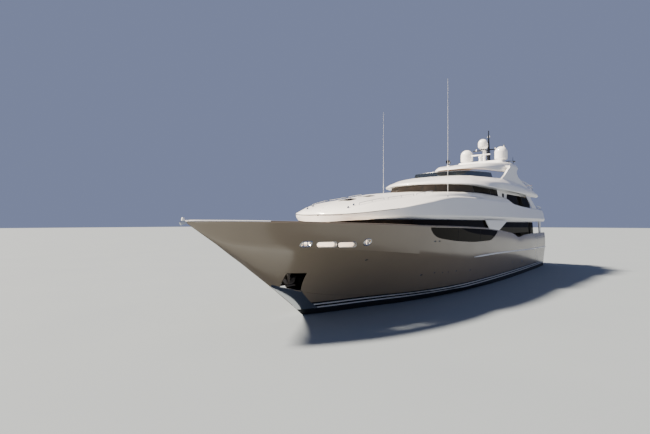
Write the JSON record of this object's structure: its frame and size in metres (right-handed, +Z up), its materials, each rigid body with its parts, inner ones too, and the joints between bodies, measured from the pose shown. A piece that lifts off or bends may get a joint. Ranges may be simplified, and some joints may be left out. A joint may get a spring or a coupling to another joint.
{
  "type": "motor yacht",
  "caption": "Three-deck motor yacht with a raked bow, wrapped wheelhouse glass, hardtop, radomes, shafts, rudders and stabiliser fins.",
  "frame": {"origin": "on the centreline at the waterline, midway along the length", "axes": "+X forward to the bow, +Y to port, +Z up"},
  "size_m": [39.6, 7.92, 15],
  "materials": {
    "hull_paint": "gloss warm grey yacht paint, with dark boot stripes and dark antifouling below",
    "gloss_white": "gloss white paint over faired moulding",
    "tinted_glass": "dark tinted glass",
    "teak": "laid teak planks with dark caulking",
    "polished_steel": "polished stainless steel",
    "bronze": "cast bronze",
    "engine_iron": "painted cast iron",
    "dark_paint": "black satin paint"
  },
  "bodies": {
    "yacht": {"aft_pillar_port": "gloss_white", "aft_pillar_starboard": "gloss_white", "aft_stair": "teak", "anchor_port": "polished_steel", "anchor_starboard": "polished_steel", "coachroof": "gloss_white", "engine_port": "engine_iron", "engine_starboard": "engine_iron", "foredeck": "teak", "forward_wall": "gloss_white", "hardtop": "gloss_white", "hull": "hull_paint", "hull_window_port": "tinted_glass", "hull_window_starboard": "tinted_glass", "lounge": "gloss_white", "lounge_window_port": "tinted_glass", "lounge_window_starboard": "tinted_glass", "main_deck": "teak", "mast": "dark_paint", "middle_radome": "gloss_white", "radar_pedestal": "gloss_white", "radome_port": "gloss_white", "radome_starboard": "gloss_white", "saloon": "gloss_white", "saloon_window_port": "tinted_glass", "saloon_window_starboard": "tinted_glass", "shaft_bracket_port": "bronze", "shaft_bracket_starboard": "bronze", "side_body_port": "gloss_white", "side_body_starboard": "gloss_white", "sun_stair": "teak", "sundeck": "gloss_white", "sundeck_brow": "gloss_white", "sundeck_screen": "tinted_glass", "sundeck_side_port": "gloss_white", "sundeck_side_starboard": "gloss_white", "swim_platform": "teak", "topside_port": "hull_paint", "topside_starboard": "hull_paint", "upper_deck": "gloss_white", "wheelhouse_glass": "tinted_glass", "whip_port": "gloss_white", "whip_starboard": "gloss_white", "windlass": "polished_steel", "window_band_port": "tinted_glass", "window_band_starboard": "tinted_glass"},
    "propeller_port": {"propeller_port": "bronze"},
    "propeller_starboard": {"propeller_starboard": "bronze"},
    "rudder_port": {"rudder_port": "bronze"},
    "rudder_starboard": {"rudder_starboard": "bronze"},
    "fin_port": {"stabiliser_fin_port": "gloss_white"},
    "fin_starboard": {"stabiliser_fin_starboard": "gloss_white"},
    "garage_door": {"garage_door": "hull_paint"},
    "saloon_door": {"saloon_door": "tinted_glass"},
    "lounge_door": {"lounge_door": "tinted_glass"},
    "side_door_port": {"side_door_port": "gloss_white"},
    "side_door_starboard": {"side_door_starboard": "gloss_white"},
    "foredeck_hatch": {"foredeck_hatch": "gloss_white"},
    "radar_scanner": {"radar_scanner": "gloss_white"},
    "searchlight": {"searchlight": "dark_paint"}
  },
  "joints": [
    {"name": "propeller_port_turn", "type": "hinge", "parent": "yacht", "child": "propeller_port", "pos_m": [-15.4, 1.5, -1.45], "axis": [0.9945, 0, 0.1045], "continuous": true},
    {"name": "rudder_port_turn", "type": "hinge", "parent": "yacht", "child": "rudder_port", "pos_m": [-16.6, 1.5, -1.4], "axis": [0, 0, 1], "range_deg": [-35, 35]},
    {"name": "fin_port_turn", "type": "hinge", "parent": "yacht", "child": "fin_port", "pos_m": [0, 2.7, -0.483], "axis": [0, 0.6211, -0.7837], "range_deg": [-20, 20]},
    {"name": "side_door_port_slide", "type": "slide", "parent": "yacht", "child": "side_door_port", "axis": [-1, 0, 0], "range_m": [0, 0.76]},
    {"name": "propeller_starboard_turn", "type": "hinge", "parent": "yacht", "child": "propeller_starboard", "pos_m": [-15.4, -1.5, -1.45], "axis": [0.9945, 0, 0.1045], "continuous": true},
    {"name": "rudder_starboard_turn", "type": "hinge", "parent": "yacht", "child": "rudder_starboard", "pos_m": [-16.6, -1.5, -1.4], "axis": [0, 0, 1], "range_deg": [-35, 35]},
    {"name": "fin_starboard_turn", "type": "hinge", "parent": "yacht", "child": "fin_starboard", "pos_m": [0, -2.7, -0.483], "axis": [0, -0.6211, -0.7837], "range_deg": [-20, 20]},
    {"name": "side_door_starboard_slide", "type": "slide", "parent": "yacht", "child": "side_door_starboard", "axis": [-1, 0, 0], "range_m": [0, 0.76]},
    {"name": "garage_door_lift", "type": "hinge", "parent": "yacht", "child": "garage_door", "pos_m": [-18.2, 0, 1.944], "axis": [0, 1, 0], "range_deg": [0, 85]},
    {"name": "saloon_door_slide", "type": "slide", "parent": "yacht", "child": "saloon_door", "axis": [0, 1, 0], "range_m": [0, 1.15]},
    {"name": "lounge_door_slide", "type": "slide", "parent": "yacht", "child": "lounge_door", "axis": [0, 1, 0], "range_m": [0, 1.15]},
    {"name": "foredeck_hatch_lift", "type": "hinge", "parent": "yacht", "child": "foredeck_hatch", "pos_m": [14.78, 0, 3.236], "axis": [0, 1, 0], "range_deg": [0, 80]},
    {"name": "radar_scanner_turn", "type": "hinge", "parent": "yacht", "child": "radar_scanner", "pos_m": [-10.35, 0, 10.42], "axis": [0, 0, 1], "continuous": true},
    {"name": "searchlight_pan", "type": "hinge", "parent": "yacht", "child": "searchlight", "pos_m": [-4.5, -0.6, 9], "axis": [0, 0, 1], "range_deg": [-170, 170]}
  ],
  "couplings": [
    {"joint": "rudder_starboard_turn", "follows": "rudder_port_turn", "ratio": 1}
  ]
}
